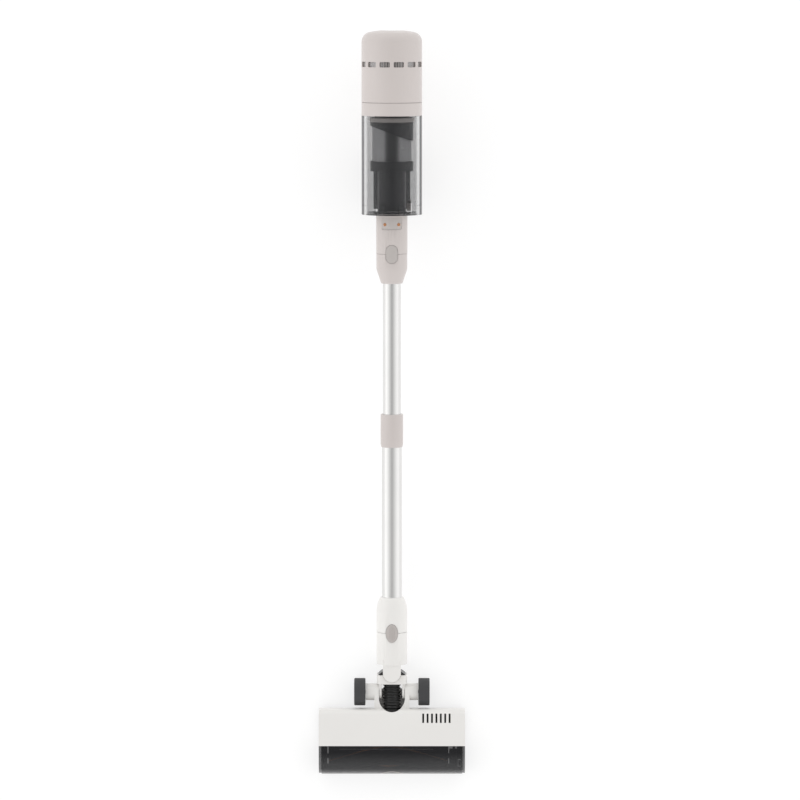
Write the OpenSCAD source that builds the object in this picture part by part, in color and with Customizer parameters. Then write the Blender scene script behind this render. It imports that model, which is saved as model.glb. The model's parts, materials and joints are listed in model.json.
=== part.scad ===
/* [Wand] */
// Outer radius of the lower wand tube
lower_tube_r = 16; // [14:0.5:18]
// Outer radius of the upper wand tube, which slides into the lower one
upper_tube_r = 14.4; // [12:0.2:14.4]
// Wall of both wand tubes
tube_wall = 1.3; // [0.8:0.1:1.5]
// Place of the telescope collar's lower end along the wand
collar_s = 395.8; // [360:1:420]
// Length of the telescope collar
collar_len = 52.6; // [40:0.5:60]
// Visible length of the upper tube when it is pulled right out
upper_show = 209.1; // [200:1:260]
// How far the upper tube slides into the lower one
telescope_travel = 190; // [120:5:190]

/* [Couplings] */
// Outer radius of the two release couplings
coupling_r = 24.6; // [22:0.2:27]
// Radius of the spigots inside the couplings
spigot_r = 18.9; // [17:0.1:19.5]
// Length of the spigots inside the couplings
spigot_len = 26; // [20:1:30]
// Place of the lower coupling's seam along the wand
lower_seam_s = 97.9; // [90:0.5:110]
// Width of a release button
button_w = 19; // [14:0.5:20]
// Length of a release button
button_l = 29; // [22:0.5:30]
// Travel of a release button
button_travel = 1.6; // [1:0.1:2]

/* [Dust cup and motor] */
// Radius of the cup and the motor housing
body_r = 48; // [44:0.5:56]
// Wall of the clear cup
cup_wall_t = 2; // [1.5:0.1:3]
// Length of the nose below the cup
nose_len = 62.4; // [56:0.2:80]
// Height of the cup's bottom door
door_h = 15.2; // [12:0.2:20]
// Length of the clear cup wall
cup_len = 141.4; // [120:0.2:180]
// Height of the ring on top of the cup
cup_collar_h = 21; // [16:0.5:26]
// Length of the motor housing
housing_len = 113.8; // [110:0.2:140]
// Radius of the rounded edge at the top of the housing
dome_edge_r = 16; // [10:0.5:20]
// Number of exhaust slots around the housing, with the rear one left out
slot_count = 13; // [9:2:15]

/* [Grip and battery] */
// Depth of the battery's resting edge below the wand's centre line
rest_depth = 100; // [96:0.5:110]
// Width of the battery pack
battery_w = 59; // [54:0.5:64]
// Length of the battery pack
battery_l = 88; // [80:1:100]
// Thickness of the grip
grip_t = 26; // [22:0.5:30]
// Width of the grip
grip_w = 30; // [26:0.5:34]

/* [Floor head] */
// Width of the floor head
head_w = 234; // [220:1:270]
// Distance from the wheel axle to the head's front edge
head_front = 132.6; // [130:0.2:150]
// Distance from the wheel axle to the edge between window and cover
window_line = 84.8; // [82:0.2:90]
// Distance from the wheel axle to the head's rear edge
head_rear = 26.4; // [25:0.1:30]
// Height of the head at its highest line
head_h = 56; // [54:0.5:62]
// Radius of the rear wheels
wheel_r = 22; // [20:0.5:24]
// Width of a rear wheel
wheel_w = 18; // [12:0.5:20]
// Distance from the centre plane to a wheel's inner face
wheel_x = 42.5; // [40:0.5:50]
// Outer radius of the brush over its bristles
brush_r = 20; // [18:0.5:20.5]
// Radius of the small front rollers
roller_r = 5; // [4:0.5:6]

/* [Hose] */
// Outer radius of the bellows hose
hose_r = 14.4; // [13:0.1:14.6]
// Distance between the hose's ribs
hose_pitch = 5; // [4:0.25:6]

/* [Hidden] */
$fn = 96;
// clearances
fit_gap = 0.3;         // between curved faces that slide past each other
run_gap = 0.05;        // radial, round a shaft
seam_gap = 0.4;        // between two mouldings that meet
press_gap = 0.02;      // radial, round a pressed-in pin
shell = 2.4;           // wall of the white mouldings

// places along the wand, measured from the wheel axle
yaw_s = 33;                                   // axis of the sideways swivel
tongue_r = 14.4;                              // round end of the connector's tongues
tongue_z0 = 17.4;                             // inner face of a tongue
tongue_t = 4;                                 // thickness of a tongue
yoke_z = tongue_z0 - seam_gap;                // half thickness of the yoke
yoke_w = 48.4;
yoke_plate = 2.6;                             // plates over and under the drum
drum_r = 13.8;                                // black swivel drum
drum_h = 2 * (yoke_z - yoke_plate);
crescent_s = yaw_s - 24.4;                    // middle of the dark shield round the drum
yaw_pin_r = 3;
duct_r = 11;
connector_s = yaw_s + 13;                     // shoulder of the connector
lower_socket_top = lower_seam_s + 56.4;
collar_top = collar_s + collar_len;
upper_socket_s = collar_top + upper_show;     // where the upper tube enters its socket
upper_socket_full = upper_socket_s + 22.4;    // where the socket reaches full width
upper_seam_s = upper_socket_s + 47.5;
nose_top = upper_seam_s + nose_len;
door_top = nose_top + door_h;
cup_top = door_top + cup_len;
housing_s = cup_top + cup_collar_h;
housing_top = housing_s + housing_len;
dome_rise = 2.5;                              // crown of the top
slot_h = 8.4;
slot_w = 16.5;
slot_s = housing_s + 60.2;                    // middle of the exhaust slots
cup_flat = body_r - 12.5;                     // flat at the back of the cup
hinge_s = nose_top + 4.5;                     // hinge of the cup's door
hinge_z = body_r;
hinge_eye_x = 15.4;
spine_w = 42;
spine_front = cup_flat + 0.6;
spine_back = spine_front + 18;
grip_in = 84;                                 // inner face of the grip
battery_s = nose_top + 5;                     // lower end of the battery
battery_top = battery_s + battery_l;
battery_in = spine_back + 3.5;                // inner face of the battery
dock_h = 22;
bridge_s = housing_s + 66;                    // lower edge of the bridge between grip and housing
cyclone_r = body_r - 13.8;

// how the machine lies: wheels and battery on the floor
axle_z = wheel_r;
lie_angle = acos(axle_z / norm([rest_depth, battery_s])) - atan2(battery_s, rest_depth);
foot_l = 46;                                  // flat stretch of the battery that rests
dock_step = 3.6;                              // how far the dock stands out past the foot
grip_out = rest_depth + foot_l * tan(lie_angle) + dock_step;
key_r = 4.6;                                  // power key, the farthest point from the head
key_z = 23;
key_top = housing_top - 0.8;
axle_y = (head_front - key_top * cos(lie_angle) - (key_z + key_r) * sin(lie_angle)) / 2;

// floor head
brush_y = -103;
brush_z = brush_r + 2.5;
brush_x0 = -101.5;
brush_x1 = 90.5;
brush_mid = (brush_x0 + brush_x1) / 2;
core_r = brush_r - 5;
bristle_start = 107;                          // turn of a row at the brush's middle
bristle_lead = 1;                             // degrees of twist per millimetre
mouth_y0 = brush_y - brush_r - 2;
mouth_y1 = brush_y + brush_r + 2;
lip = 8;                                      // how far the sole reaches in under the brush
barrel_r = 34;                                // outside radius of the window
barrel_y = -head_front + 2 + barrel_r;
barrel_z = head_h - barrel_r;
cover_rear_h = 46;
axle_pin_r = 3;
boss_r = 13.5;
opening_r = 20.8;                             // round opening for the hose
opening_y = -10.7;
neck_w = 56.4;
yoke_arm_x0 = 16.6;
yoke_arm_x1 = opening_r - 0.5;
pulley_x0 = 96.5;
pulley_w = 6;
brush_pulley_r = 11;
motor_pulley_r = 7;
motor_y = -66;
motor_z = 24;
motor_r = 14;
roller_x = 109.8;
roller_w = 6;
roller_y = -116;
roller_pin_r = 1.2;
hose_s1 = 14;                                 // upper end of the hose on the yoke
hose_y0 = -33;                                // lower end of the hose in the head

// ---- frames and shared shapes ----

// everything that leans with the wand: +Y runs along it and +Z is its front
module on_wand() translate([0, axle_y, axle_z]) rotate([lie_angle, 0, 0]) children();

// the floor head, measured from the wheel axle's middle at floor height
module on_head() translate([0, axle_y, 0]) children();

// spins a radius-and-length outline round the wand's centre line
module turned() rotate([-90, 0, 0]) rotate_extrude() children();

// draws an X-Z outline from s0 to s1 along the wand
module along(s0, s1) translate([0, s1, 0]) rotate([90, 0, 0]) linear_extrude(s1 - s0) children();

// draws a Y-Z outline from x0 to x1 across the head
module across(x0, x1) translate([x0, 0, 0]) rotate([90, 0, 90]) linear_extrude(x1 - x0) children();

module rod(r, s0, s1) along(s0, s1) circle(r);

module pipe(r_out, r_in, s0, s1) along(s0, s1) difference() {
    circle(r_out);
    circle(r_in);
}

module rounded(w, h, r) {
    square([w - 2 * r, h], center = true);
    square([w, h - 2 * r], center = true);
    for (i = [-1, 1], j = [-1, 1]) translate([i * (w / 2 - r), j * (h / 2 - r)]) circle(r);
}

// cup section: round at the front, flat at the back
module cup_outline(r, flat) intersection() {
    circle(r);
    translate([-r, -flat]) square([2 * r, flat + r]);
}

module oval(w, l) polygon([for (i = [0:47]) [w / 2 * cos(i * 7.5), l / 2 * sin(i * 7.5)]]);

// oval block with its long side along the wand
module oval_block(w, l, z0, z1) translate([0, 0, z0]) linear_extrude(z1 - z0) oval(w, l);

// round-ended block with its long side along the wand
module stadium_block(w, l, z0, z1) translate([0, 0, z0]) linear_extrude(z1 - z0) {
    square([w, l - w], center = true);
    for (j = [-1, 1]) translate([0, j * (l - w) / 2]) circle(w / 2);
}

function arc(cx, cy, r, a0, a1, n = 12) =
    [for (i = [0:n]) [cx + r * cos(a0 + (a1 - a0) * i / n), cy + r * sin(a0 + (a1 - a0) * i / n)]];

// ---- floor head ----

module window_outline(inset) {
    polygon(concat(
        [[-window_line, head_h - inset], [barrel_y, head_h - inset]],
        arc(barrel_y, barrel_z, barrel_r - inset, 90, 180, 20),
        [[barrel_y - barrel_r + inset, 12], [-window_line, 12]]
    ));
}

module head_base() color("dimgray") on_head() difference() {
    union() {
        across(-head_w / 2 + 3, head_w / 2 - 3) {
            translate([-head_front + 5, 3]) square([head_front - head_rear - 8, 3]);
            translate([-head_rear - 6, 3]) square([3, 4.5]);
            translate([mouth_y1 + 1, 3]) square([3, 8]);
        }
        for (i = [-1, 1]) across(i * 112.2 - 1.5, i * 112.2 + 1.5)
            translate([mouth_y0 - 1, 3]) square([90, 9]);
        translate([-26, -window_line, 3]) cube([52, window_line + 4, 3]);
    }
    translate([-104, mouth_y0 + lip, 0]) cube([pulley_x0 + pulley_w + 106, mouth_y1 - mouth_y0 - 2 * lip, 9]);
    for (i = [-1, 1]) translate([i * roller_x, roller_y, roller_r]) rotate([0, 90, 0]) {
        cylinder(r = roller_r + 1, h = roller_w + 1, center = true);
        cylinder(r = roller_pin_r + press_gap, h = roller_w + 2, center = true);
    }
}

module neck_solid() {
    translate([-neck_w / 2, -head_rear - 10, 8]) cube([neck_w, 14 + head_rear, 27]);
    translate([-neck_w / 2, -head_rear - 10, 8]) cube([neck_w, 36, 18]);
    translate([0, 0, axle_z]) rotate([0, 90, 0]) cylinder(r = boss_r, h = 2 * wheel_x - 1, center = true);
}

module head_cover() color("whitesmoke") on_head() difference() {
    union() {
        difference() {
            across(-head_w / 2, head_w / 2) polygon([
                [-window_line, 12], [-window_line, head_h], [-window_line + 20, head_h - 1.2],
                [-head_rear - 7, cover_rear_h + 1.5], [-head_rear - 2, cover_rear_h - 1.5],
                [-head_rear, cover_rear_h - 7], [-head_rear, 12]
            ]);
            across(-head_w / 2 + shell, head_w / 2 - shell) polygon([
                [-window_line - 1, 6], [-window_line - 1, head_h - shell],
                [-window_line + 20, head_h - 1.2 - shell],
                [-head_rear - 7, cover_rear_h + 1.5 - shell], [-head_rear - shell, cover_rear_h - 7],
                [-head_rear - shell, 6]
            ]);
        }
        difference() {
            neck_solid();
            translate([-neck_w / 2 + 3, -head_rear - 12, 4]) cube([neck_w - 6, 9, 31]);
        }
    }
    translate([0, opening_y, 8.5]) cylinder(r = opening_r, h = 60);
    translate([-opening_r, opening_y, 8.5]) cube([2 * opening_r, 60, 60]);
    translate([0, -window_line + 30, axle_z]) rotate([-90, 0, 0]) cylinder(r = hose_r + 1, h = 80);
    translate([0, 0, axle_z]) rotate([0, 90, 0])
        cylinder(r = axle_pin_r + press_gap, h = 3 * wheel_x, center = true);
    for (i = [0:6]) translate([50.1 + 7.05 * i - 1.5, -48.2, 30]) cube([3, 14.7, 30]);
}

module front_window() color([0.12, 0.12, 0.13, 0.55]) on_head() {
    across(-head_w / 2 + 2, head_w / 2 - 2) difference() {
        window_outline(0);
        window_outline(2);
        translate([-window_line - 1, 0]) square([4, head_h - 2]);
    }
    for (x = [-head_w / 2, head_w / 2 - 2]) across(x, x + 2) difference() {
        window_outline(0);
        translate([-window_line - 0.01, 0]) square([2, head_h]);
    }
}

module front_bumper() color("dimgray") on_head() across(-head_w / 2 + 4, head_w / 2 - 4)
    polygon([[-head_front, 5], [-head_front, 10.5], [-head_front + 1.6, 11.7],
             [-head_front + 4.6, 11.7], [-head_front + 4.6, 5]]);

module brush_motor() color("silver") on_head() translate([0, motor_y, motor_z]) rotate([0, 90, 0]) {
    translate([0, 0, 34]) cylinder(r = motor_r, h = 56);
    translate([0, 0, 90]) cylinder(r = 5, h = 2.5);
}

// belt outline standing d off both pulleys
module belt_outline(d) {
    span = norm([brush_y - motor_y, brush_z - motor_z]);
    lean = atan2(brush_z - motor_z, brush_y - motor_y);
    flare = asin((brush_pulley_r - motor_pulley_r) / span);
    polygon(concat(
        arc(motor_y, motor_z, motor_pulley_r + d, lean + 90 + flare, lean + 270 - flare, 24),
        arc(brush_y, brush_z, brush_pulley_r + d, lean - 90 - flare, lean + 90 + flare, 30)
    ));
}

module drive_belt() color("black") on_head() across(pulley_x0 + 1, pulley_x0 + pulley_w - 1) difference() {
    belt_outline(2);
    belt_outline(0.3);
}

module head_duct() color("dimgray") on_head() difference() {
    translate([0, mouth_y1 + 5, axle_z]) rotate([-90, 0, 0])
        cylinder(r = hose_r - 1, h = -mouth_y1 - 5 + hose_y0 - 0.5);
    translate([0, mouth_y1, axle_z]) rotate([-90, 0, 0]) cylinder(r = hose_r - 3, h = 90);
}

module axle_pins() color("silver") on_head() for (i = [-1, 1]) {
    translate([i * (yoke_arm_x0 + wheel_x + wheel_w - 1) / 2, 0, axle_z]) rotate([0, 90, 0])
        cylinder(r = axle_pin_r, h = wheel_x + wheel_w - 1 - yoke_arm_x0, center = true);
    translate([i * roller_x, roller_y, roller_r]) rotate([0, 90, 0])
        cylinder(r = roller_pin_r, h = roller_w + 1.6, center = true);
}

module head_screws() color("silver") on_head() for (i = [-1, 1], y = [-70, -38])
    translate([i * 104, y, 1.6]) {
        cylinder(r = 3, h = 1.4);
    }

module hose() color("black") {
    ribs = floor((hose_s1 - 1 - hose_y0) / hose_pitch);
    on_head() translate([0, 0, axle_z]) turned() polygon(concat(
        [[hose_r - 3.4, hose_y0]],
        [for (i = [0:ribs - 1], k = [0:3])
            [hose_r - [1.8, 0, 0, 1.8][k], hose_y0 + hose_pitch * (i + [0, 0.3, 0.7, 1][k])]],
        [[hose_r - 3.4, hose_y0 + hose_pitch * ribs]]
    ));
}

module at_wheel(side) on_head() translate([side * (wheel_x + wheel_w / 2), 0, axle_z]) rotate([0, 90, 0]) children();

module wheel_hub(side) color("dimgray") at_wheel(side) difference() {
    union() {
        cylinder(r = wheel_r - 5, h = wheel_w - 3, center = true);
        cylinder(r = 7, h = wheel_w, center = true);
    }
    cylinder(r = axle_pin_r + run_gap, h = 2 * wheel_w, center = true);
}

module wheel_tyre(side) color([0.25, 0.25, 0.26]) at_wheel(side) rotate_extrude() polygon([
    [wheel_r - 5, -wheel_w / 2 + 1.5], [wheel_r - 4, -wheel_w / 2], [wheel_r - 1, -wheel_w / 2],
    [wheel_r, -wheel_w / 2 + 1], [wheel_r, wheel_w / 2 - 1], [wheel_r - 1, wheel_w / 2],
    [wheel_r - 4, wheel_w / 2], [wheel_r - 5, wheel_w / 2 - 1.5]
]);

module left_hub() wheel_hub(-1);
module right_hub() wheel_hub(1);
module left_tyre() wheel_tyre(-1);
module right_tyre() wheel_tyre(1);

module front_roller(side) color("gray") on_head() translate([side * roller_x, roller_y, roller_r])
    rotate([0, 90, 0]) difference() {
        cylinder(r = roller_r, h = roller_w, center = true);
        cylinder(r = roller_pin_r + run_gap, h = 2 * roller_w, center = true);
    }

module left_roller() front_roller(-1);
module right_roller() front_roller(1);

module at_brush() on_head() translate([0, brush_y, brush_z]) rotate([0, 90, 0]) children();

module brush_core() color([0.2, 0.2, 0.21]) at_brush() {
    translate([0, 0, brush_x0]) cylinder(r = core_r, h = brush_x1 - brush_x0);
    translate([0, 0, brush_x0 - 5]) cylinder(r = 4, h = 6);
    translate([0, 0, brush_x1 - 1]) cylinder(r = 4, h = 18);
}

// two rows that lead towards the middle of the brush, like a chevron
module brush_rows(first, thick) at_brush() for (row = [first, first + 180], half = [-1, 1])
    translate([0, 0, brush_mid]) mirror([0, 0, half < 0 ? 1 : 0])
        rotate([0, 0, row])
        linear_extrude(height = (brush_x1 - brush_x0) / 2 - 1, slices = 24, $fn = 6,
                       twist = -bristle_lead * ((brush_x1 - brush_x0) / 2 - 1))
            translate([core_r + press_gap, -thick / 2]) square([brush_r - core_r - press_gap, thick]);

module brush_bristles() color("darkorange") brush_rows(bristle_start, 2.4);
module brush_blades() color([0.1, 0.1, 0.1]) brush_rows(bristle_start - 90, 3);

module brush_pulley() color("gray") at_brush() translate([0, 0, pulley_x0]) difference() {
    cylinder(r = brush_pulley_r, h = pulley_w);
    translate([0, 0, -1]) cylinder(r = 4 + press_gap, h = pulley_w + 2);
}

module motor_pulley() color("gray") on_head() translate([pulley_x0, motor_y, motor_z]) rotate([0, 90, 0]) {
    cylinder(r = motor_pulley_r, h = pulley_w);
    translate([0, 0, -3.9]) cylinder(r = 1.8, h = 4);
}

// ---- swivel and lower coupling ----

module yoke() color("whitesmoke") on_wand() difference() {
    union() {
        for (i = [-1, 1]) across(min(i * yoke_arm_x0, i * yoke_arm_x1), max(i * yoke_arm_x0, i * yoke_arm_x1)) {
            circle(11);
            translate([0, -11]) square([hose_s1 + 2, 22]);
        }
        along(hose_s1 + 0.3, yaw_s - 4) rounded(yoke_w, 2 * yoke_z, 6);
        for (i = [-1, 1]) translate([0, yaw_s, i * (yoke_z - yoke_plate / 2)])
            cylinder(r = 9, h = yoke_plate, center = true);
    }
    rod(duct_r, 0, 60);
    translate([0, yaw_s, 0]) cylinder(r = drum_r + 0.05, h = drum_h + 0.1, center = true);
    translate([0, yaw_s, 0]) cylinder(r = yaw_pin_r + run_gap, h = 60, center = true);
    rotate([0, 90, 0]) cylinder(r = axle_pin_r + run_gap, h = 60, center = true);
    for (i = [-1, 1]) translate([0, yaw_s, i * yoke_z]) difference() {
        cylinder(r = tongue_r + 1, h = 2.4, center = true);
        cylinder(r = tongue_r, h = 3, center = true);
    }
}

module swivel_duct() color([0.07, 0.07, 0.07]) on_wand() difference() {
    union() {
        translate([0, yaw_s, 0]) cylinder(r = drum_r, h = drum_h, center = true);
        intersection() {
            along(yaw_s - 3.9, yaw_s + 8) rounded(yoke_w - 0.6, drum_h, 5);
            translate([0, crescent_s, 0]) cylinder(r = 30, h = drum_h, center = true);
        }
    }
    rod(duct_r, 0, 60);
}

module coupling_notch(s, w, l) translate([0, s, 0]) oval_block(w + 0.8, l + 0.8, spigot_r + 0.4, 40);

module connector_shell() color("whitesmoke") on_wand() difference() {
    union() {
        rod(coupling_r, connector_s, lower_seam_s - seam_gap / 2);
        for (z = [tongue_z0, -tongue_z0 - tongue_t]) translate([0, 0, z]) {
            translate([0, yaw_s, 0]) cylinder(r = tongue_r, h = tongue_t);
            translate([-tongue_r, yaw_s, 0]) cube([2 * tongue_r, connector_s + 8 - yaw_s, tongue_t]);
        }
        rod(spigot_r, lower_seam_s - 6, lower_seam_s + spigot_len);
    }
    translate([0, yaw_s, -tongue_z0]) cylinder(r = drum_r + 0.8, h = 2 * tongue_z0);
    rod(duct_r + 1, 30, 200);
    translate([0, yaw_s, 0]) cylinder(r = yaw_pin_r + press_gap, h = 2 * tongue_z0 + 4.6, center = true);
    coupling_notch(lower_seam_s, button_w, button_l);
}

module yaw_pins() color("silver") on_wand() translate([0, yaw_s, 0])
    for (i = [-1, 1]) translate([0, 0, i * (tongue_z0 - 0.4)]) cylinder(r = yaw_pin_r, h = 5, center = true);

// outline of a coupling's socket: r against the distance from the seam
module lower_socket_outline() polygon(concat(
    [[spigot_r + fit_gap, lower_seam_s + seam_gap / 2], [coupling_r, lower_seam_s + seam_gap / 2]],
    arc(coupling_r - 40, lower_socket_top - 22, 40, 0, 32, 10),
    [[lower_tube_r + press_gap + 0.5, lower_socket_top], [lower_tube_r + press_gap, lower_socket_top],
     [lower_tube_r + press_gap, lower_seam_s + spigot_len + 4],
     [upper_tube_r - 2, lower_seam_s + spigot_len + 4],
     [upper_tube_r - 2, lower_seam_s + spigot_len + 1], [spigot_r + fit_gap, lower_seam_s + spigot_len + 1]]
));

module wand_lower_socket() color("whitesmoke") on_wand() difference() {
    turned() lower_socket_outline();
    coupling_notch(lower_seam_s, button_w, button_l);
}

module lower_tube() color("silver") on_wand()
    pipe(lower_tube_r, lower_tube_r - tube_wall, lower_seam_s + spigot_len + 4, collar_top - 8);

module telescope_collar() color([0.81, 0.78, 0.76]) on_wand() difference() {
    turned() polygon([
        [lower_tube_r + press_gap, collar_s], [lower_tube_r + 1, collar_s],
        [lower_tube_r + 2, collar_s + 5], [lower_tube_r + 2, collar_top - 0.8],
        [lower_tube_r + 1.2, collar_top], [upper_tube_r + fit_gap, collar_top],
        [upper_tube_r + fit_gap, collar_top - 8], [lower_tube_r + press_gap, collar_top - 8]
    ]);
    translate([0, (collar_s + collar_top) / 2 + 6, -40]) stadium_block(8.6, 16.6, 0, 30);
}

module collar_lock_button() color([0.7, 0.67, 0.65]) on_wand()
    translate([0, (collar_s + collar_top) / 2 + 6, 0]) difference() {
        stadium_block(8, 16, -lower_tube_r - 4, -10);
        rotate([90, 0, 0]) cylinder(r = lower_tube_r + 1.3, h = 40, center = true);
    }

// oval button with finger ridges, curved like the coupling it sits in
module lower_release_button() color([0.8, 0.78, 0.76]) on_wand() translate([0, lower_seam_s, 0]) {
    intersection() {
        oval_block(button_w, button_l, spigot_r + 0.4 + button_travel + 0.3, 40);
        rotate([90, 0, 0]) cylinder(r = coupling_r + 0.6, h = 60, center = true);
    }
    for (i = [-2:2]) intersection() {
        oval_block(button_w - 5, button_l - 6, coupling_r - 3, 40);
        translate([i * 2.6 - 0.6, -20, 0]) cube([1.2, 40, 40]);
        rotate([90, 0, 0]) cylinder(r = coupling_r + 1, h = 60, center = true);
    }
}

// ---- upper tube and coupling ----

// its lower end fills the lower tube's bore and guides it
module upper_tube() color("silver") on_wand() {
    pipe(upper_tube_r, upper_tube_r - tube_wall, collar_top - 90, upper_socket_s + 16);
    pipe(lower_tube_r - tube_wall - fit_gap, upper_tube_r - tube_wall, collar_top - 100, collar_top - 90);
}

module wand_upper_socket() color([0.81, 0.78, 0.76]) on_wand() difference() {
    turned() polygon([
        [upper_tube_r + press_gap, upper_socket_s], [upper_tube_r + 2.2, upper_socket_s],
        [upper_tube_r + 3, upper_socket_s + 0.8], [coupling_r - 0.8, upper_socket_full - 2],
        [coupling_r, upper_socket_full + 1],
        [coupling_r, upper_seam_s - seam_gap / 2], [spigot_r + fit_gap, upper_seam_s - seam_gap / 2],
        [spigot_r + fit_gap, upper_seam_s - spigot_len - 1], [upper_tube_r - 2, upper_seam_s - spigot_len - 1],
        [upper_tube_r - 2, upper_socket_s + 16], [upper_tube_r + press_gap, upper_socket_s + 16]
    ]);
    translate([0, upper_seam_s, 0]) stadium_block(button_w + 0.8, button_l + 0.8, spigot_r + 0.4, 40);
}

module upper_release_button() color([0.71, 0.68, 0.67]) on_wand() translate([0, upper_seam_s, 0])
    intersection() {
        stadium_block(button_w, button_l, spigot_r + 0.4 + button_travel + 0.3, 40);
        rotate([90, 0, 0]) cylinder(r = coupling_r + 0.6, h = 60, center = true);
    }

// ---- nose, frame and motor housing ----

nose_r = coupling_r + 0.3;
panel_s = nose_top - 13.8;

module panel_block(w, l, z0, z1) translate([0, panel_s, z0]) linear_extrude(z1 - z0) {
    translate([-w / 2, -l / 2 + 4]) square([w, l - 4]);
    translate([-w / 2 + 4, -l / 2]) square([w - 8, l]);
    for (i = [-1, 1]) translate([i * (w / 2 - 4), -l / 2 + 4]) circle(4);
}

module nose() color([0.81, 0.78, 0.76]) on_wand() difference() {
    union() {
        rod(nose_r, upper_seam_s + seam_gap / 2, nose_top - 0.4);
        rod(spigot_r, upper_seam_s - spigot_len, upper_seam_s + 4);
        along(nose_top - 46, nose_top - 6) translate([-15, -spine_front + 0.3]) square([30, spine_front - 12]);
    }
    rod(upper_tube_r - 2, upper_seam_s - 60, nose_top + 9);
    translate([0, upper_seam_s, 0]) stadium_block(button_w + 0.8, button_l + 0.8, spigot_r + 0.4, 40);
    panel_block(33.5, 19.5, nose_r - 6, 60);
}

module contact_panel() color([0.76, 0.73, 0.71]) on_wand() difference() {
    intersection() {
        panel_block(33.1, 19.1, nose_r - 6, 60);
        rod(nose_r - 0.7, nose_top - 40, nose_top - 2);
    }
    for (i = [-1, 1]) translate([i * 10.9, panel_s - 1.5, 0]) cylinder(r = 2.6, h = 60);
}

module charge_contacts() color([0.72, 0.45, 0.3]) on_wand() for (i = [-1, 1])
    translate([i * 10.9, panel_s - 1.5, nose_r - 6]) cylinder(r = 2.5, h = 3.6);

module main_frame() color([0.81, 0.78, 0.76]) on_wand() difference() {
    along(nose_top - 48, bridge_s - 1) translate([0, -(spine_front + spine_back) / 2])
        rounded(spine_w, spine_back - spine_front, 5);
    along(housing_s + 0.1, slot_s + 20) circle(body_r + 0.1);
    along(nose_top - 40, nose_top + 90) translate([0, -(spine_front + spine_back) / 2])
        rounded(spine_w - 6, spine_back - spine_front - 6, 3);
}

module housing_outline(inset) polygon(concat(
    [[0, housing_s + (inset > 0 ? 4 : 0.2)], [body_r - inset, housing_s + (inset > 0 ? 4 : 0.2)]],
    arc(body_r - dome_edge_r, housing_top - dome_rise - dome_edge_r, dome_edge_r - inset, 0, 84, 12),
    [[20, housing_top - 0.6 - inset], [0, housing_top - inset]]
));

module motor_housing() color([0.81, 0.78, 0.76]) on_wand() difference() {
    turned() housing_outline(0);
    turned() housing_outline(shell);
    rod(30, housing_s - 1, housing_s + 6);
    rod(31, housing_top - 8, housing_top + 4);
    for (i = [0:slot_count - 2]) rotate([0, (i + 1 - slot_count / 2) * 360 / slot_count, 0])
        translate([0, slot_s, body_r - 8]) linear_extrude(20)
            rotate(90) rounded(slot_h, slot_w, 1.6);
}

module top_cap() color([0.81, 0.78, 0.76]) on_wand() difference() {
    turned() polygon([
        [0, housing_top - 4.4], [30.6, housing_top - 4.4], [30.6, housing_top - 2],
        [20, housing_top - 0.6], [0, housing_top]
    ]);
    rod(16, housing_top - 2.4, housing_top + 1);
    translate([0, 0, -key_z]) rod(key_r + 0.4, housing_top - 6, housing_top + 1);
}

module status_display() color([0.05, 0.05, 0.06]) on_wand()
    rod(15.7, housing_top - 2.3, housing_top - 0.5);

module power_button() color([0.5, 0.5, 0.5]) on_wand() translate([0, 0, -key_z])
    rod(key_r, housing_top - 4.2, key_top);

module exhaust_filter() color([0.6, 0.59, 0.58]) on_wand() pipe(body_r - shell - 0.6, body_r - 10, slot_s - 12, slot_s + 12);

module suction_motor() color([0.45, 0.45, 0.47]) on_wand() {
    rod(27, housing_s + 24, slot_s - 6);
    rod(4, slot_s - 6, slot_s + 5);
}

module motor_mount() color([0.15, 0.15, 0.15]) on_wand() pipe(body_r - shell - 0.6, 27.3, housing_s + 28, housing_s + 36);

module impeller() color([0.75, 0.76, 0.78]) on_wand() difference() {
    union() {
        rod(24, slot_s - 4, slot_s - 2.5);
        rod(8, slot_s - 4, slot_s + 4);
        for (i = [0:8]) rotate([0, i * 40, 0]) translate([7, slot_s - 3, -0.6]) cube([16.5, 6, 1.2]);
    }
    rod(4 + run_gap, slot_s - 10, slot_s + 20);
}

module control_board() color("darkgreen") on_wand() rod(26, housing_top - 18, housing_top - 16.4);

module body_screws() color("silver") on_wand() for (i = [-1, 1], s = [nose_top - 44, battery_top + dock_h + 12])
    translate([i * 12, s, -spine_back - 1.2]) cylinder(r = 2.8, h = 1.2);

// grip: a bar along the body with a bridge to the housing and a dock for the battery
module grip() color([0.81, 0.78, 0.76]) on_wand() difference() {
    union() {
        along(battery_top + 4, housing_s + 84) translate([0, -grip_in - grip_t / 2]) rounded(grip_w, grip_t, 11);
        along(bridge_s, bridge_s + 22) translate([0, -(body_r + grip_in + 14) / 2])
            rounded(grip_w, grip_in + 14 - body_r + 14, 8);
        along(battery_top + 1, battery_top + dock_h)
            translate([0, -(battery_in + grip_out) / 2]) rounded(battery_w, grip_out - battery_in, 12);
        along(battery_top + 1, battery_top + dock_h) translate([-spine_w / 2 + 2, -battery_in - 8])
            square([spine_w - 4, battery_in + 8 - spine_back]);
    }
    along(housing_s + 60, housing_top) circle(body_r + 0.1);
    along(battery_top - 1, battery_top + 7) translate([0, -(battery_in + grip_out) / 2])
        rounded(battery_w - 9, grip_out - battery_in - 9, 8);
    along(battery_top + 3, housing_s + 62) translate([-20, -grip_in - grip_t - 4]) square([40, 7]);
    translate([-7, battery_top - 1, -grip_out - 4]) cube([14, 17, 10]);
}

module grip_pad() color([0.5, 0.48, 0.47]) on_wand() intersection() {
    along(battery_top + dock_h + 3, housing_s + 61) translate([0, -grip_in - grip_t / 2]) rounded(grip_w, grip_t, 11);
    along(battery_top, housing_s + 90) translate([-20, -grip_in - grip_t - 4]) square([40, 6.9]);
}

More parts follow.
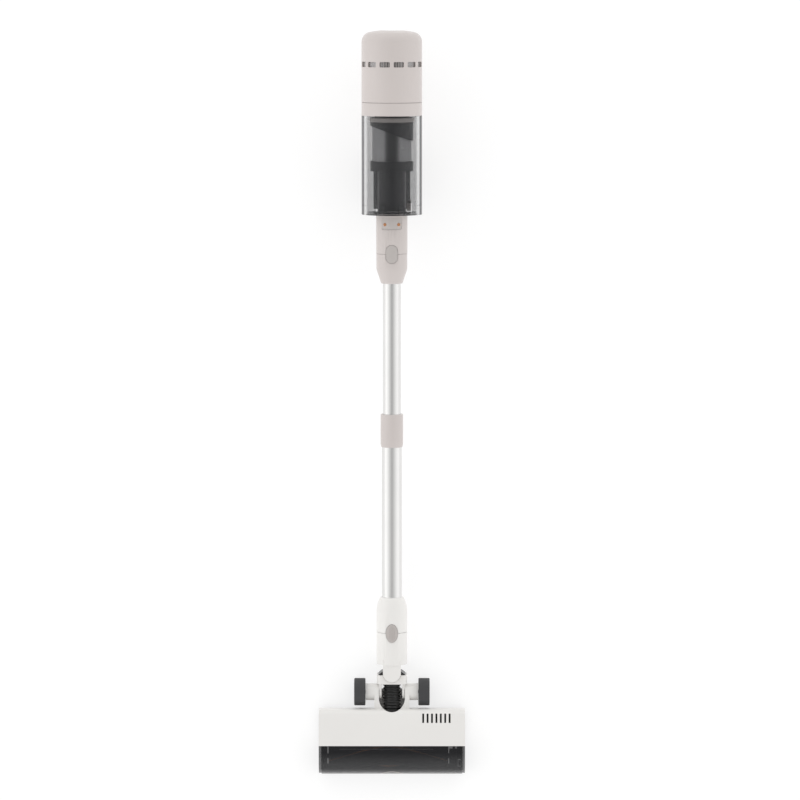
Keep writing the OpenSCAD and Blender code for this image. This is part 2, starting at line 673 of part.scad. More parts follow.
// the back of the battery is cut level with the floor, so that the machine rests on it
module battery_side() polygon([
    [battery_s, -battery_in], [battery_s, -rest_depth],
    [battery_s + foot_l, -rest_depth - foot_l * tan(lie_angle)],
    [battery_top + 0.6, -grip_out], [battery_top + 0.6, -battery_in]
]);

module battery_case() color([0.3, 0.3, 0.31]) on_wand() difference() {
    intersection() {
        across(-battery_w / 2, battery_w / 2) battery_side();
        along(battery_s, battery_top + 0.6) translate([0, -(battery_in + grip_out + 6) / 2])
            rounded(battery_w, grip_out + 6 - battery_in, 9);
    }
    along(battery_s + 3, battery_top - 6) translate([0, -battery_in - 21.5]) square([battery_w - 5, 38], center = true);
    translate([-6.4, battery_top - 13, -grip_out - 4]) cube([12.8, 20, 10]);
}

module battery_cells() color("steelblue") on_wand() for (i = [-1:1], j = [0, 1])
    translate([i * 18, 0, -battery_in - 12.2 - j * 18.4]) rod(8.95, battery_s + 6, battery_s + 71);

module battery_latch() color([0.5, 0.48, 0.47]) on_wand()
    translate([-6, battery_top - 12.6, -grip_out + 1.6]) cube([12, 11, 2.8]);

// ---- dust cup ----

module clear_wall(r, t, s0, s1) along(s0, s1) difference() {
    cup_outline(r, cup_flat);
    cup_outline(r - t, cup_flat - t);
}

module cup_wall() color([0.3, 0.3, 0.32, 0.4]) on_wand() {
    clear_wall(body_r, cup_wall_t, door_top + 0.3, cup_top - 0.1);
    for (i = [-1, 1]) translate([i * hinge_eye_x - 4, 0, 0]) difference() {
        union() {
            translate([0, hinge_s, hinge_z + 0.3]) cube([8, door_top + 6 - hinge_s, 2.3]);
            translate([0, door_top + 0.3, hinge_z - 4]) cube([8, 5.7, 5]);
            translate([0, hinge_s, hinge_z]) rotate([0, 90, 0]) cylinder(r = 2.6, h = 8);
        }
        translate([4 - i * hinge_eye_x, 0, 0]) rod(body_r - 1, door_top, door_top + 20);
        translate([-1, hinge_s, hinge_z]) rotate([0, 90, 0]) cylinder(r = 1.2, h = 10);
    }
}

module cup_collar() color([0.82, 0.79, 0.77]) on_wand() difference() {
    along(cup_top, housing_s - 0.3) cup_outline(body_r, cup_flat);
    along(cup_top - 1, housing_s - 6) cup_outline(body_r - 3, cup_flat - 3);
    rod(28, cup_top, housing_s + 1);
}

module cyclone_outline() cup_outline(cyclone_r, cup_flat - cup_wall_t - 0.2);

module slanted_cut(s) translate([0, s, 0]) rotate([0, 0, -19.5]) translate([-80, -200, -80]) cube([160, 200, 160]);

module cyclone_head() color([0.22, 0.22, 0.23]) on_wand() difference() {
    along(cup_top - 52, cup_top - 3) cyclone_outline();
    rod(cyclone_r - 2.8, cup_top - 60, cup_top - 9);
    rod(28.1, cup_top - 60, cup_top + 9);
    slanted_cut(cup_top - 28);
}

module cyclone_shroud() color([0.55, 0.55, 0.56]) on_wand() {
    pipe(cyclone_r - 3.2, cyclone_r - 4.8, cup_top - 70, cup_top - 10);
    pipe(cyclone_r - 2.2, cyclone_r - 4.8, cup_top - 72, cup_top - 70);
}

module inlet_duct() color([0.12, 0.12, 0.13]) on_wand() difference() {
    union() {
        along(cup_top - 88, cup_top - 72.2) cyclone_outline();
        along(nose_top + 0.4, cup_top - 88) {
            circle(22.5);
            translate([-22.5, -cup_flat + cup_wall_t + 0.1]) square([45, cup_flat - cup_wall_t - 0.1]);
        }
        rod(25.1, nose_top + 0.2, nose_top + 4);
    }
    rod(upper_tube_r - 2, nose_top - 1, cup_top - 96);
    along(cup_top - 100, cup_top - 60) difference() {
        circle(20);
        circle(14);
    }
}

module filter() color([0.85, 0.85, 0.83]) on_wand() pipe(27.9, 10, cup_top - 40, housing_s - 1.2);

module cup_door() color([0.35, 0.35, 0.37, 0.5]) on_wand() {
    difference() {
        union() {
            along(nose_top, nose_top + 3) cup_outline(body_r, cup_flat);
            clear_wall(body_r, cup_wall_t, nose_top, door_top);
        }
        along(nose_top - 1, door_top + 1) union() {
            circle(25.5);
            translate([-25.5, -60]) square([51, 60]);
        }
        translate([22, nose_top - 1, -60]) cube([10, 40, 40]);
        for (i = [-1, 1]) translate([i * hinge_eye_x - 4.5, nose_top - 1, hinge_z - 6]) cube([9, 9, 20]);
    }
    translate([0, hinge_s, hinge_z]) rotate([0, 90, 0]) {
        cylinder(r = 2.6, h = 2 * hinge_eye_x - 9, center = true);
        cylinder(r = 1.2 - run_gap, h = 2 * hinge_eye_x + 8, center = true);
    }
}

module door_latch() color([0.3, 0.3, 0.31]) on_wand()
    translate([27, door_top - 3, -cup_flat - 2.2]) rotate([90, 0, 0]) translate([0, 0, -9]) linear_extrude(18) rounded(7, 3.6, 1.4);

// ---- the whole machine ----

head_base();
head_cover();
front_window();
front_bumper();
brush_motor();
drive_belt();
head_duct();
axle_pins();
head_screws();
hose();
left_hub();
left_tyre();
right_hub();
right_tyre();
left_roller();
right_roller();
brush_core();
brush_bristles();
brush_blades();
brush_pulley();
motor_pulley();
yoke();
swivel_duct();
connector_shell();
yaw_pins();
wand_lower_socket();
lower_tube();
telescope_collar();
lower_release_button();
collar_lock_button();
upper_tube();
wand_upper_socket();
upper_release_button();
nose();
contact_panel();
charge_contacts();
main_frame();
motor_housing();
top_cap();
exhaust_filter();
suction_motor();
motor_mount();
impeller();
control_board();
grip();
grip_pad();
power_button();
status_display();
body_screws();
battery_case();
battery_cells();
battery_latch();
cup_wall();
cup_collar();
cyclone_head();
cyclone_shroud();
inlet_duct();
filter();
cup_door();
door_latch();
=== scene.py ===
import bpy
import bmesh
import json
import math
import random
from mathutils import Matrix, Vector


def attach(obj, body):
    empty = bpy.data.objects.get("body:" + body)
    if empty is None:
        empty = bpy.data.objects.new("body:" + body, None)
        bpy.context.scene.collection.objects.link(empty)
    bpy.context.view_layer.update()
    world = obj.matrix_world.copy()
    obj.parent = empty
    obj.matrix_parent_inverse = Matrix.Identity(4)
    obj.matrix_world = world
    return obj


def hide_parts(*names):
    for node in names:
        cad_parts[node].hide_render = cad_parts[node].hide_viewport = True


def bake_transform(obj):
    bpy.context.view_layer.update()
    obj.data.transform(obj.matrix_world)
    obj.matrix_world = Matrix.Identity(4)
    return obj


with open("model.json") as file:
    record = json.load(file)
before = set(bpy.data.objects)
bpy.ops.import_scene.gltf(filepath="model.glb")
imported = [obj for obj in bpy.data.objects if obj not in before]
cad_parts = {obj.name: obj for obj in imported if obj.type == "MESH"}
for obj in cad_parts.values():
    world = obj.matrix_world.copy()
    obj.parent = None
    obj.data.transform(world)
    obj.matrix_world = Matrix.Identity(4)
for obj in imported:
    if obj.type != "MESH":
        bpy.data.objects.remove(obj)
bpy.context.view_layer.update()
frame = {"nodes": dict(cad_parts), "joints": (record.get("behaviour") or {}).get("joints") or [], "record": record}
nodes = frame["nodes"]
joints = {j["name"]: j for j in frame["joints"]}
print("frame loaded:", len(nodes), "nodes")


# places that everything is measured from

mm = 0.001
axle = Vector(joints["wand_pitch"]["pos_m"])           # middle of the wheel axle
wandAlong = Vector(joints["telescope_slide"]["axis"])  # from head to motor
wandFront = Vector(joints["cup_lift_off"]["axis"])
wandFrame = Matrix((
    (1, 0, 0, axle.x),
    (0, wandAlong.y, wandFront.y, axle.y),
    (0, wandAlong.z, wandFront.z, axle.z),
    (0, 0, 0, 1)))                                     # +Y along the wand, +Z its front
headFrame = Matrix.Translation((0, axle.y, 0))
leanAngle = math.asin(wandAlong.z)


def span(node, place=wandFrame):
    # lowest and highest corner of a node, measured in the wand's or the head's frame
    back = place.inverted()
    points = [back @ v.co for v in nodes[node].data.vertices]
    low = Vector([min(p[i] for p in points) for i in range(3)])
    high = Vector([max(p[i] for p in points) for i in range(3)])
    return low, high


# shader maths

class Wire:
    def __init__(self, graph, socket):
        self.graph = graph
        self.socket = socket

    def maths(self, operation, *others):
        return self.graph.node("ShaderNodeMath", {"operation": operation}, dict(enumerate((self, *others))))

    def __add__(self, other):
        return self.maths("ADD", other)

    def __sub__(self, other):
        return self.maths("SUBTRACT", other)

    def __mul__(self, other):
        return self.maths("MULTIPLY", other)

    def __rsub__(self, other):
        return self.graph.node("ShaderNodeMath", {"operation": "SUBTRACT"}, {0: other, 1: self})

    __radd__ = __add__
    __rmul__ = __mul__

    def step(self, low, high):
        # 0 below low, 1 above high, smooth between
        return self.graph.node("ShaderNodeMapRange", {"interpolation_type": "SMOOTHSTEP"},
                               {"Value": self, "From Min": low, "From Max": high})


class Graph:
    def __init__(self, name):
        self.material = bpy.data.materials.new(name)
        self.material.use_nodes = True
        self.tree = self.material.node_tree
        self.tree.nodes.clear()

    def node(self, kind, settings=None, sockets=None, out=0):
        made = self.tree.nodes.new(kind)
        for key, value in (settings or {}).items():
            setattr(made, key, value)
        for key, value in (sockets or {}).items():
            if isinstance(value, Wire):
                self.tree.links.new(value.socket, made.inputs[key])
            else:
                made.inputs[key].default_value = value
        return Wire(self, made.outputs[out])

    def place(self, turn=(0, 0, 0), stretch=(1, 1, 1)):
        here = self.node("ShaderNodeTexCoord", out="Object")
        return self.node("ShaderNodeMapping", None, {"Vector": here, "Rotation": turn, "Scale": stretch})

    def noise(self, scale, detail=3, at=None):
        return self.node("ShaderNodeTexNoise", None, {
            "Vector": at or self.place(), "Scale": scale, "Detail": detail})

    def mix(self, amount, first, second):
        return self.node("ShaderNodeMix", {"data_type": "RGBA"}, {0: amount, 6: first, 7: second}, out=2)

    def bump(self, height, strength, distance):
        return self.node("ShaderNodeBump", None, {
            "Height": height, "Strength": strength, "Distance": distance})

    def shader(self, sockets):
        return self.node("ShaderNodeBsdfPrincipled", None, sockets)

    def output(self, surface):
        end = self.tree.nodes.new("ShaderNodeOutputMaterial")
        self.tree.links.new(surface.socket, end.inputs["Surface"])


def rgb(colour, share=1.0):
    return (colour[0] * share, colour[1] * share, colour[2] * share, 1)


# finishes

plastics = {
    "warmWhite": dict(colour=(0.83, 0.815, 0.79), rough=0.34, grain=2600, relief=0.05, coat=0.12),
    "greige": dict(colour=(0.61, 0.558, 0.537), rough=0.33, grain=2600, relief=0.05, coat=0.12),
    "keyGreige": dict(colour=(0.5, 0.465, 0.445), rough=0.4, grain=3000, relief=0.06, coat=0.0),
    "panelGreige": dict(colour=(0.55, 0.51, 0.49), rough=0.42, grain=2200, relief=0.08, coat=0.0),
    "graphite": dict(colour=(0.028, 0.028, 0.03), rough=0.42, grain=1500, relief=0.15, coat=0.0),
    "innerBlack": dict(colour=(0.012, 0.012, 0.014), rough=0.32, grain=1500, relief=0.1, coat=0.1),
    "softGrey": dict(colour=(0.22, 0.21, 0.205), rough=0.7, grain=900, relief=0.35, coat=0.0),
    "tyreGrey": dict(colour=(0.043, 0.043, 0.045), rough=0.62, grain=1100, relief=0.4, coat=0.0),
    "blackRubber": dict(colour=(0.005, 0.005, 0.005), rough=0.38, grain=1300, relief=0.12, coat=0.35),
    "screenBlack": dict(colour=(0.006, 0.006, 0.008), rough=0.08, grain=400, relief=0.0, coat=0.8),
    "cellWrap": dict(colour=(0.03, 0.16, 0.26), rough=0.3, grain=300, relief=0.05, coat=0.3),
    "boardGreen": dict(colour=(0.01, 0.07, 0.03), rough=0.35, grain=500, relief=0.2, coat=0.2),
    "bristleOrange": dict(colour=(0.95, 0.47, 0.19), rough=0.6, grain=1800, relief=0.6, coat=0.0),
    "filterCloth": dict(colour=(0.62, 0.62, 0.6), rough=0.9, grain=1600, relief=0.5, coat=0.0),
}


moulded = dict(drift=9, dark=0.95, pale=1.04, speckDark=0.9, speckShare=0.25, marks=60,
               marksFrom=0.42, marksTo=0.75, marksRough=0.07, speckRough=0.05, coatRough=0.15, depth=0.0002)


def plastic(name, colour, rough, grain, relief, coat):
    m = moulded
    g = Graph(name)
    cloud = g.noise(m["drift"], 3)             # slow drift of tone over a moulding
    speck = g.noise(grain, 2)                  # fine moulded grain
    tone = g.mix(cloud, rgb(colour, m["dark"]), rgb(colour, m["pale"]))
    worn = g.noise(m["marks"], 4).step(m["marksFrom"], m["marksTo"])     # handling marks in the gloss
    sockets = {
        "Base Color": g.mix(speck * m["speckShare"], tone, rgb(colour, m["speckDark"])),
        "Roughness": rough + worn * m["marksRough"] + speck * m["speckRough"],
        "Coat Weight": coat,
        "Coat Roughness": m["coatRough"],
    }
    if relief:
        sockets["Normal"] = g.bump(speck, relief, m["depth"])
    g.output(g.shader(sockets))
    return g.material


metals = {
    "steel": dict(colour=(0.56, 0.56, 0.58), rough=0.26, along=(1, 1, 1), line=900),
    "silverTube": dict(colour=(0.77, 0.765, 0.755), rough=0.24, along=(1, 0.02, 1), line=1400),
    "castAlloy": dict(colour=(0.42, 0.42, 0.44), rough=0.5, along=(1, 1, 1), line=500),
    "copper": dict(colour=(0.78, 0.4, 0.22), rough=0.24, along=(1, 0.1, 1), line=900),
}


drawnMetal = dict(haze=14, dark=0.94, pale=1.03, lineRough=0.12, relief=0.04, depth=0.0001)


def metal(name, colour, rough, along, line):
    m = drawnMetal
    g = Graph(name)
    drawn = g.noise(line, 2, g.place(turn=(-leanAngle, 0, 0), stretch=along))
    haze = g.noise(m["haze"], 3)
    g.output(g.shader({
        "Base Color": g.mix(haze, rgb(colour, m["dark"]), rgb(colour, m["pale"])),
        "Metallic": 1.0,
        "Roughness": rough + drawn * m["lineRough"] - m["lineRough"] / 2,
        "Normal": g.bump(drawn, m["relief"], m["depth"]),
    }))
    return g.material


smokes = {
    "smokeCup": dict(tint=(0.05, 0.05, 0.053), body=0.2, rim=(0.36, 0.52), edge=(0.56, 0.66)),
    "smokeWindow": dict(tint=(0.012, 0.012, 0.014), body=0.58, rim=(0.8, 0.98), edge=(0.98, 1.0)),
}


glassy = dict(haze=18, hazeShare=0.05, clearRough=0.06, glossRough=0.1, edgeRough=0.2,
              glossTone=0.9, glossAlpha=0.85, glossShare=0.8, coat=0.3, coatRough=0.03)


def smoke(name, tint, body, rim, edge):
    # clear smoked plastic: thin in the middle, bright gloss where the wall turns away, dark at the very edge
    m = glassy
    g = Graph(name)
    haze = g.noise(m["haze"], 3) * m["hazeShare"]
    facing = g.node("ShaderNodeLayerWeight", None, {"Blend": 0.5}, out="Facing")
    clear = g.shader({
        "Base Color": rgb(tint), "Roughness": m["clearRough"] + haze,
        "Alpha": body + haze, "Coat Weight": m["coat"], "Coat Roughness": m["coatRough"]})
    gloss = g.shader({
        "Base Color": rgb((1, 1, 1), m["glossTone"]), "Metallic": 1.0,
        "Roughness": m["glossRough"] + haze, "Alpha": m["glossAlpha"]})
    mixed = g.node("ShaderNodeMixShader", None, {
        0: facing.step(*rim) * m["glossShare"], 1: clear, 2: gloss})
    thick = g.shader({"Base Color": rgb(tint), "Roughness": m["edgeRough"] + haze})
    g.output(g.node("ShaderNodeMixShader", None, {0: facing.step(*edge), 1: mixed, 2: thick}))
    return g.material


etched = dict(colour=(0.5, 0.5, 0.51), pitch=0.0016, radius=0.031, hole=(0.15, 0.45), closed=(0.005, 0.11),
              relief=0.6, depth=0.0003)


def etchedMesh(name, colour, pitch, radius, hole, closed, relief, depth):
    # thin metal with rows of tiny round holes; from the side the wires close up and shine
    g = Graph(name)
    centre = g.place(turn=(-leanAngle, 0, 0))
    parts = [g.node("ShaderNodeSeparateXYZ", None, {0: centre}, out=i) for i in range(3)]
    angle = parts[0].maths("ARCTAN2", parts[2] + wandFrame.inverted().translation.z)
    across = (angle * (radius / pitch * 2 * math.pi)).maths("SINE")
    length = (parts[1] * (2 * math.pi / pitch)).maths("SINE")
    pierced = (across * length).step(*hole)
    pitted = g.bump(1 - pierced, relief, depth)
    facing = g.node("ShaderNodeLayerWeight", None, {"Blend": 0.5}, out="Facing")
    through = g.shader({"Base Color": rgb(colour, 0.08), "Roughness": 0.5, "Normal": pitted})
    wires = g.shader({
        "Base Color": g.mix(pierced, rgb(colour), rgb(colour, 0.1)),
        "Metallic": 0.8,
        "Roughness": 0.35 + pierced * 0.4,
        "Normal": pitted,
    })
    g.output(g.node("ShaderNodeMixShader", None, {0: facing.step(*closed), 1: through, 2: wires}))
    return g.material


finish = {name: plastic(name, **values) for name, values in plastics.items()}
finish.update({name: metal(name, **values) for name, values in metals.items()})
finish.update({name: smoke(name, **values) for name, values in smokes.items()})
finish["meshGrey"] = etchedMesh("meshGrey", **etched)
print("finishes made:", len(finish))


wear = {
    "warmWhite": ["head_cover", "connector_shell", "wand_lower_socket", "yoke"],
    "greige": ["nose", "motor_housing", "top_cap", "main_frame", "grip", "cup_collar",
               "telescope_collar", "wand_upper_socket"],
    "panelGreige": ["contact_panel"],
    "keyGreige": ["lower_release_button", "collar_lock_button", "upper_release_button", "power_button",
                  "battery_latch", "door_latch"],
    "graphite": ["head_base", "head_duct", "left_hub", "right_hub", "left_roller", "right_roller",
                 "brush_pulley", "battery_case"],
    "innerBlack": ["cyclone_head", "inlet_duct", "brush_core"],
    "softGrey": ["grip_pad", "front_bumper"],
    "blackRubber": ["hose", "drive_belt", "swivel_duct", "motor_mount", "brush_blades"],
    "tyreGrey": ["left_tyre", "right_tyre"],
    "smokeCup": ["cup_wall", "cup_door"],
    "smokeWindow": ["front_window"],
    "steel": ["motor_pulley", "axle_pins", "head_screws", "yaw_pins", "body_screws", "brush_motor"],
    "silverTube": ["lower_tube", "upper_tube"],
    "copper": ["charge_contacts"],
    "bristleOrange": ["brush_bristles"],
    "meshGrey": ["cyclone_shroud", "exhaust_filter"],
    "filterCloth": ["filter"],
    "castAlloy": ["suction_motor", "impeller"],
    "boardGreen": ["control_board"],
    "screenBlack": ["status_display"],
    "cellWrap": ["battery_cells"],
}


def dress(thing, material):
    thing.data.materials.clear()
    thing.data.materials.append(finish[material])


for material, names in wear.items():
    for name in names:
        dress(nodes[name], material)
wearOf = {name: material for material, names in wear.items() for name in names}
print("CAD nodes dressed:", len(wearOf))


# pieces

bodyOf = {n: body for body, members in frame["record"]["behaviour"]["bodies"].items() for n in members}


def keep(name, work, material, body, place=None, smooth=40, replaced=()):
    # turns a bmesh into a finished piece that rides on a body
    if place:
        work.transform(place)
    mesh = bpy.data.meshes.new(name)
    work.to_mesh(mesh)
    work.free()
    thing = bpy.data.objects.new(name, mesh)
    bpy.context.scene.collection.objects.link(thing)
    if smooth:
        mesh.shade_smooth()
        mesh.set_sharp_from_angle(angle=math.radians(smooth))
    dress(thing, material)
    if body:
        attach(thing, body)
    if replaced:
        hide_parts(*replaced)
    return thing


softEdges = {
    "head_cover": 0.9, "connector_shell": 0.5, "wand_lower_socket": 0.4, "yoke": 0.6, "nose": 0.4,
    "motor_housing": 0.35, "main_frame": 0.5, "grip": 0.8, "cup_collar": 0.35, "telescope_collar": 0.3,
    "wand_upper_socket": 0.4, "battery_case": 0.8, "head_base": 0.6, "left_hub": 0.5, "right_hub": 0.5,
    "lower_release_button": 0.3, "upper_release_button": 0.4, "inlet_duct": 0.5, "cyclone_head": 0.4,
    "contact_panel": 0.3, "charge_contacts": 0.3, "top_cap": 0.3, "suction_motor": 0.6,
}


softEdge = dict(steps=2, sharpFrom=40, flat=0.5, shadeFrom=30)


def soften(node, width, steps, sharpFrom, flat, shadeFrom):
    # the same moulding with small rounded edges that catch the light
    work = bmesh.new()
    work.from_mesh(nodes[node].data)
    bmesh.ops.remove_doubles(work, verts=work.verts, dist=1e-6)
    bmesh.ops.dissolve_limit(work, angle_limit=math.radians(flat), verts=work.verts, edges=work.edges)
    thing = keep(node + "_moulding", work, wearOf[node], bodyOf[node],
                 smooth=shadeFrom, replaced=[node])
    bevel = thing.modifiers.new("edge", "BEVEL")
    bevel.width = width * mm
    bevel.segments = steps
    bevel.limit_method = "ANGLE"
    bevel.angle_limit = math.radians(sharpFrom)
    bevel.use_clamp_overlap = True
    bevel.harden_normals = True


for node, width in softEdges.items():
    soften(node, width, **softEdge)
print("edges softened:", len(softEdges))


def ring(work, points, steps):
    # closed outline of (radius, place) points spun round the wand
    verts = [work.verts.new((r, y, 0)) for r, y in points]
    edges = [work.edges.new((verts[i], verts[(i + 1) % len(verts)])) for i in range(len(verts))]
    bmesh.ops.spin(work, geom=verts + edges, cent=(0, 0, 0), axis=(0, 1, 0), angle=2 * math.pi,
                   steps=steps, use_merge=True, use_duplicate=False)
    bmesh.ops.remove_doubles(work, verts=work.verts, dist=1e-7)
    bmesh.ops.recalc_face_normals(work, faces=work.faces)


hoseShape = dict(start=-33.0, end=13.6, outer=14.4, inner=12.3, bore=10.8, ribs=9, rowsPerRib=10,
                 roundness=1.6, steps=64)


def bellows(start, end, outer, inner, bore, ribs, rowsPerRib, roundness, steps):
    # ribbed hose from the head's neck into the swivel
    pitch = (end - start) / ribs
    rows = ribs * rowsPerRib
    waves = []
    for i in range(rows + 1):
        along = start + (end - start) * i / rows
        crest = abs(math.cos(math.pi * (along - start) / pitch)) ** roundness
        waves.append((inner + (outer - inner) * (1 - crest), along))
    outline = waves + [(bore, end), (bore, start)]
    work = bmesh.new()
    ring(work, [(r * mm, y * mm) for r, y in outline], steps)
    thing = keep("bellowsHose", work, "blackRubber", None,
                 place=Matrix.Translation(axle), smooth=60, replaced=["hose"])
    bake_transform(thing)


bellows(**hoseShape)
print("hose made")


def block(work, low, high, rounding):
    # box between two corners in millimetres, with rounded edges
    made = bmesh.ops.create_cube(work, size=1.0)["verts"]
    centre = [(a + b) / 2 * mm for a, b in zip(low, high)]
    sides = [(b - a) * mm for a, b in zip(low, high)]
    bmesh.ops.transform(work, matrix=Matrix.Translation(centre) @ Matrix.Diagonal((*sides, 1)), verts=made)
    edges = {e for v in made for e in v.link_edges}
    bmesh.ops.bevel(work, geom=list(edges), offset=rounding * mm, segments=2, profile=0.5,
                    affect="EDGES", material=-1)


def headPiece(name, work, material, body="head", smooth=40, replaced=()):
    return keep(name, work, material, body, place=headFrame, smooth=smooth, replaced=replaced)


brushLow, brushHigh = span("brush_core", headFrame)
brushCentre = (brushLow + brushHigh) / 2 / mm
windowLow = span("front_window", headFrame)[0] / mm

tufts = dict(gap=1.5, hairs=4, thick=0.4, taper=0.55, root=15.2, tip=20.0, uneven=(0.1, 0.7), stray=1.2,
             splay=0.05, start=73.0, lead=1.0, length=95.0, middle=-5.5)


def bristleRows(gap, hairs, thick, taper, root, tip, uneven, stray, splay, start, lead, length, middle):
    # two rows of tufts that wind outwards from the middle of the brush
    random.seed(7)
    work = bmesh.new()
    for row in (0, 180):
        for half in (-1, 1):
            for i in range(int(length / gap)):
                for hair in range(hairs):
                    along = i * gap + hair * gap / hairs
                    turn = math.radians(start + row - lead * along + random.uniform(-stray, stray))
                    reach = tip - random.uniform(*uneven)
                    made = bmesh.ops.create_cone(
                        work, cap_ends=True, segments=5, radius1=thick * mm,
                        radius2=thick * taper * mm, depth=(reach - root) * mm)["verts"]
                    lift = Matrix.Translation((0, 0, (reach + root) / 2 * mm))
                    lean = Matrix.Rotation(random.uniform(-splay, splay), 4, "Y")
                    x = middle + half * along
                    spot = Matrix.Translation((x * mm, brushCentre.y * mm, brushCentre.z * mm))
                    around = Matrix.Rotation(-turn, 4, "X")
                    bmesh.ops.transform(work, matrix=spot @ around @ lean @ lift, verts=made)
    headPiece("bristleTufts", work, "bristleOrange", body="brush", smooth=60,
              replaced=["brush_bristles"])


bristleRows(**tufts)

# pale bar placed as a painted highlight across the window
highlightBar = dict(low=(-84, -91.1, 47.5), high=(66, -89.7, 49), rounding=0.3)


def windowHighlightBar(low, high, rounding):
    # pale strip under the window's rear edge, a painted highlight that stands in for a reflection across the
    # window
    work = bmesh.new()
    block(work, low, high, rounding)
    headPiece("windowHighlightBar", work, "warmWhite")


windowHighlightBar(**highlightBar)

comb = dict(half=112, y=(-128.2, -125.6), z=(9, 20), back=1.0, foot=3,
            pitch=6.2, tooth=1.6, margin=4, rounding=0.3)


def lintComb(half, y, z, back, foot, pitch, tooth, margin, rounding):
    # row of teeth on a strip in front of the brush
    work = bmesh.new()
    block(work, (-half, y[0], z[0]), (half, y[1] - back, z[0] + foot), rounding)
    first = half - margin
    for i in range(int(2 * first / pitch)):
        x = i * pitch - first
        block(work, (x, y[0], z[0]), (x + tooth, y[1], z[1]), rounding)
    headPiece("lintComb", work, "softGrey")


lintComb(**comb)

endCovers = dict(drive=((91.8, -123, 37.5), (104.2, -90, 43.5)),
                 bearing=((-112.5, -120, 30), (-104.5, -88, 40)), rounding=0.8,
                 pads=3, padAt=5, padPitch=9, padLength=5, padInset=2,
                 padSunk=0.4, padProud=0.5, padRounding=0.3)


def brushEndCovers(drive, bearing, rounding, pads, padAt, padPitch, padLength, padInset, padSunk, padProud,
                   padRounding):
    # covers over the brush's drive and bearing, each with raised pads on top
    work = bmesh.new()
    for low, high in (drive, bearing):
        block(work, low, high, rounding)
        for i in range(pads):
            y = low[1] + padAt + i * padPitch
            block(work, (low[0] + padInset, y, high[2] - padSunk),
                  (high[0] - padInset, y + padLength, high[2] + padProud), padRounding)
    headPiece("brushEndCovers", work, "graphite")


brushEndCovers(**endCovers)

catch = dict(halfWidth=17.0, rise=15.0, foot=22.0, bead=0.55, stand=0.2, barrel=34.0, steps=36)


def windowCatch(halfWidth, rise, foot, bead, stand, barrel, steps):
    # raised arch in the middle of the window's front, where a thumb lifts it; its pale finish is a painted glint
    # along the arch
    curve = bpy.data.curves.new("archPath", "CURVE")
    curve.dimensions = "3D"
    curve.bevel_depth = bead * mm
    curve.bevel_resolution = 3
    curve.use_fill_caps = True
    path = curve.splines.new("POLY")
    path.points.add(steps)
    centreY = windowLow.y + barrel
    for i in range(steps + 1):
        turn = math.pi * i / steps
        z = foot + rise * math.sin(turn)
        y = centreY - math.sqrt((barrel + stand) ** 2 - (z - foot) ** 2)
        path.points[i].co = (halfWidth * math.cos(turn) * mm, y * mm, z * mm, 1)
    temporary = bpy.data.objects.new("archPath", curve)
    bpy.context.scene.collection.objects.link(temporary)
    bpy.context.view_layer.update()
    mesh = bpy.data.meshes.new_from_object(temporary)
    bpy.data.objects.remove(temporary)
    work = bmesh.new()
    work.from_mesh(mesh)
    headPiece("windowCatchGlintBead", work, "panelGreige", smooth=60)


windowCatch(**catch)
print("head pieces made")

screws = dict(head=2.9, height=1.2, taper=0.86, rim=0.42, sunk=0.5, sides=40)


def screwHeads(name, node, body, head, height, taper, rim, sunk, sides):
    # low tapered heads with a round recess, one on each CAD screw
    copy = bmesh.new()
    copy.from_mesh(nodes[node].data)
    bmesh.ops.remove_doubles(copy, verts=copy.verts, dist=1e-6)
    centres = []
    left = set(copy.verts)
    while left:
        group, edge = set(), [left.pop()]
        while edge:
            v = edge.pop()
            group.add(v)
            for e in v.link_edges:
                other = e.other_vert(v)
                if other in left:
                    left.remove(other)
                    edge.append(other)
        centres.append(sum((v.co for v in group), Vector()) / len(group))
    copy.free()
    down = Vector((0, 0, -1)) if body == "head" else -wandFront
    turned = down.to_track_quat("Z", "Y").to_matrix().to_4x4()
    work = bmesh.new()
    for centre in centres:
        made = bmesh.ops.create_cone(work, cap_ends=True, segments=sides, radius1=head * mm,
                                     radius2=head * taper * mm, depth=height * mm)["verts"]
        top = max((f for v in made for f in v.link_faces), key=lambda f: f.calc_center_median().z)
        inner = bmesh.ops.inset_region(work, faces=[top], thickness=head * rim * mm)
        core = bmesh.ops.extrude_face_region(work, geom=[top])
        low = [v for v in core["geom"] if isinstance(v, bmesh.types.BMVert)]
        bmesh.ops.translate(work, verts=low, vec=(0, 0, -height * sunk * mm))
        bmesh.ops.delete(work, geom=[top], context="FACES")
        whole = list(set(made) | {v for f in inner["faces"] for v in f.verts} | set(low))
        bmesh.ops.transform(work, matrix=Matrix.Translation(centre) @ turned, verts=whole)
    keep(name, work, "steel", body, smooth=35, replaced=[node])


screwHeads("headScrewHeads", "head_screws", "head", **screws)
screwHeads("bodyScrewHeads", "body_screws", "main_body", **screws)

seal = dict(clear=0.2, thick=1.0, depth=7.0, below=0.2, chamfer=0.4, steps=96)


def cycloneSeal(clear, thick, depth, below, chamfer, steps):
    # pale lip seal round the top of the cyclone, seen through the cup
    high = span("cyclone_head")[1]
    inner, top = high.x + clear * mm, high.y - below * mm
    outer, bottom = inner + thick * mm, top - depth * mm
    cut = chamfer * mm
    work = bmesh.new()
    ring(work, [(inner, bottom), (outer, bottom + cut), (outer, top - cut), (inner, top)], steps)
    keep("cycloneSeal", work, "panelGreige", bodyOf["cyclone_head"], place=wandFrame)


cycloneSeal(**seal)

pleats = dict(count=48, outer=27.6, inner=20.0)


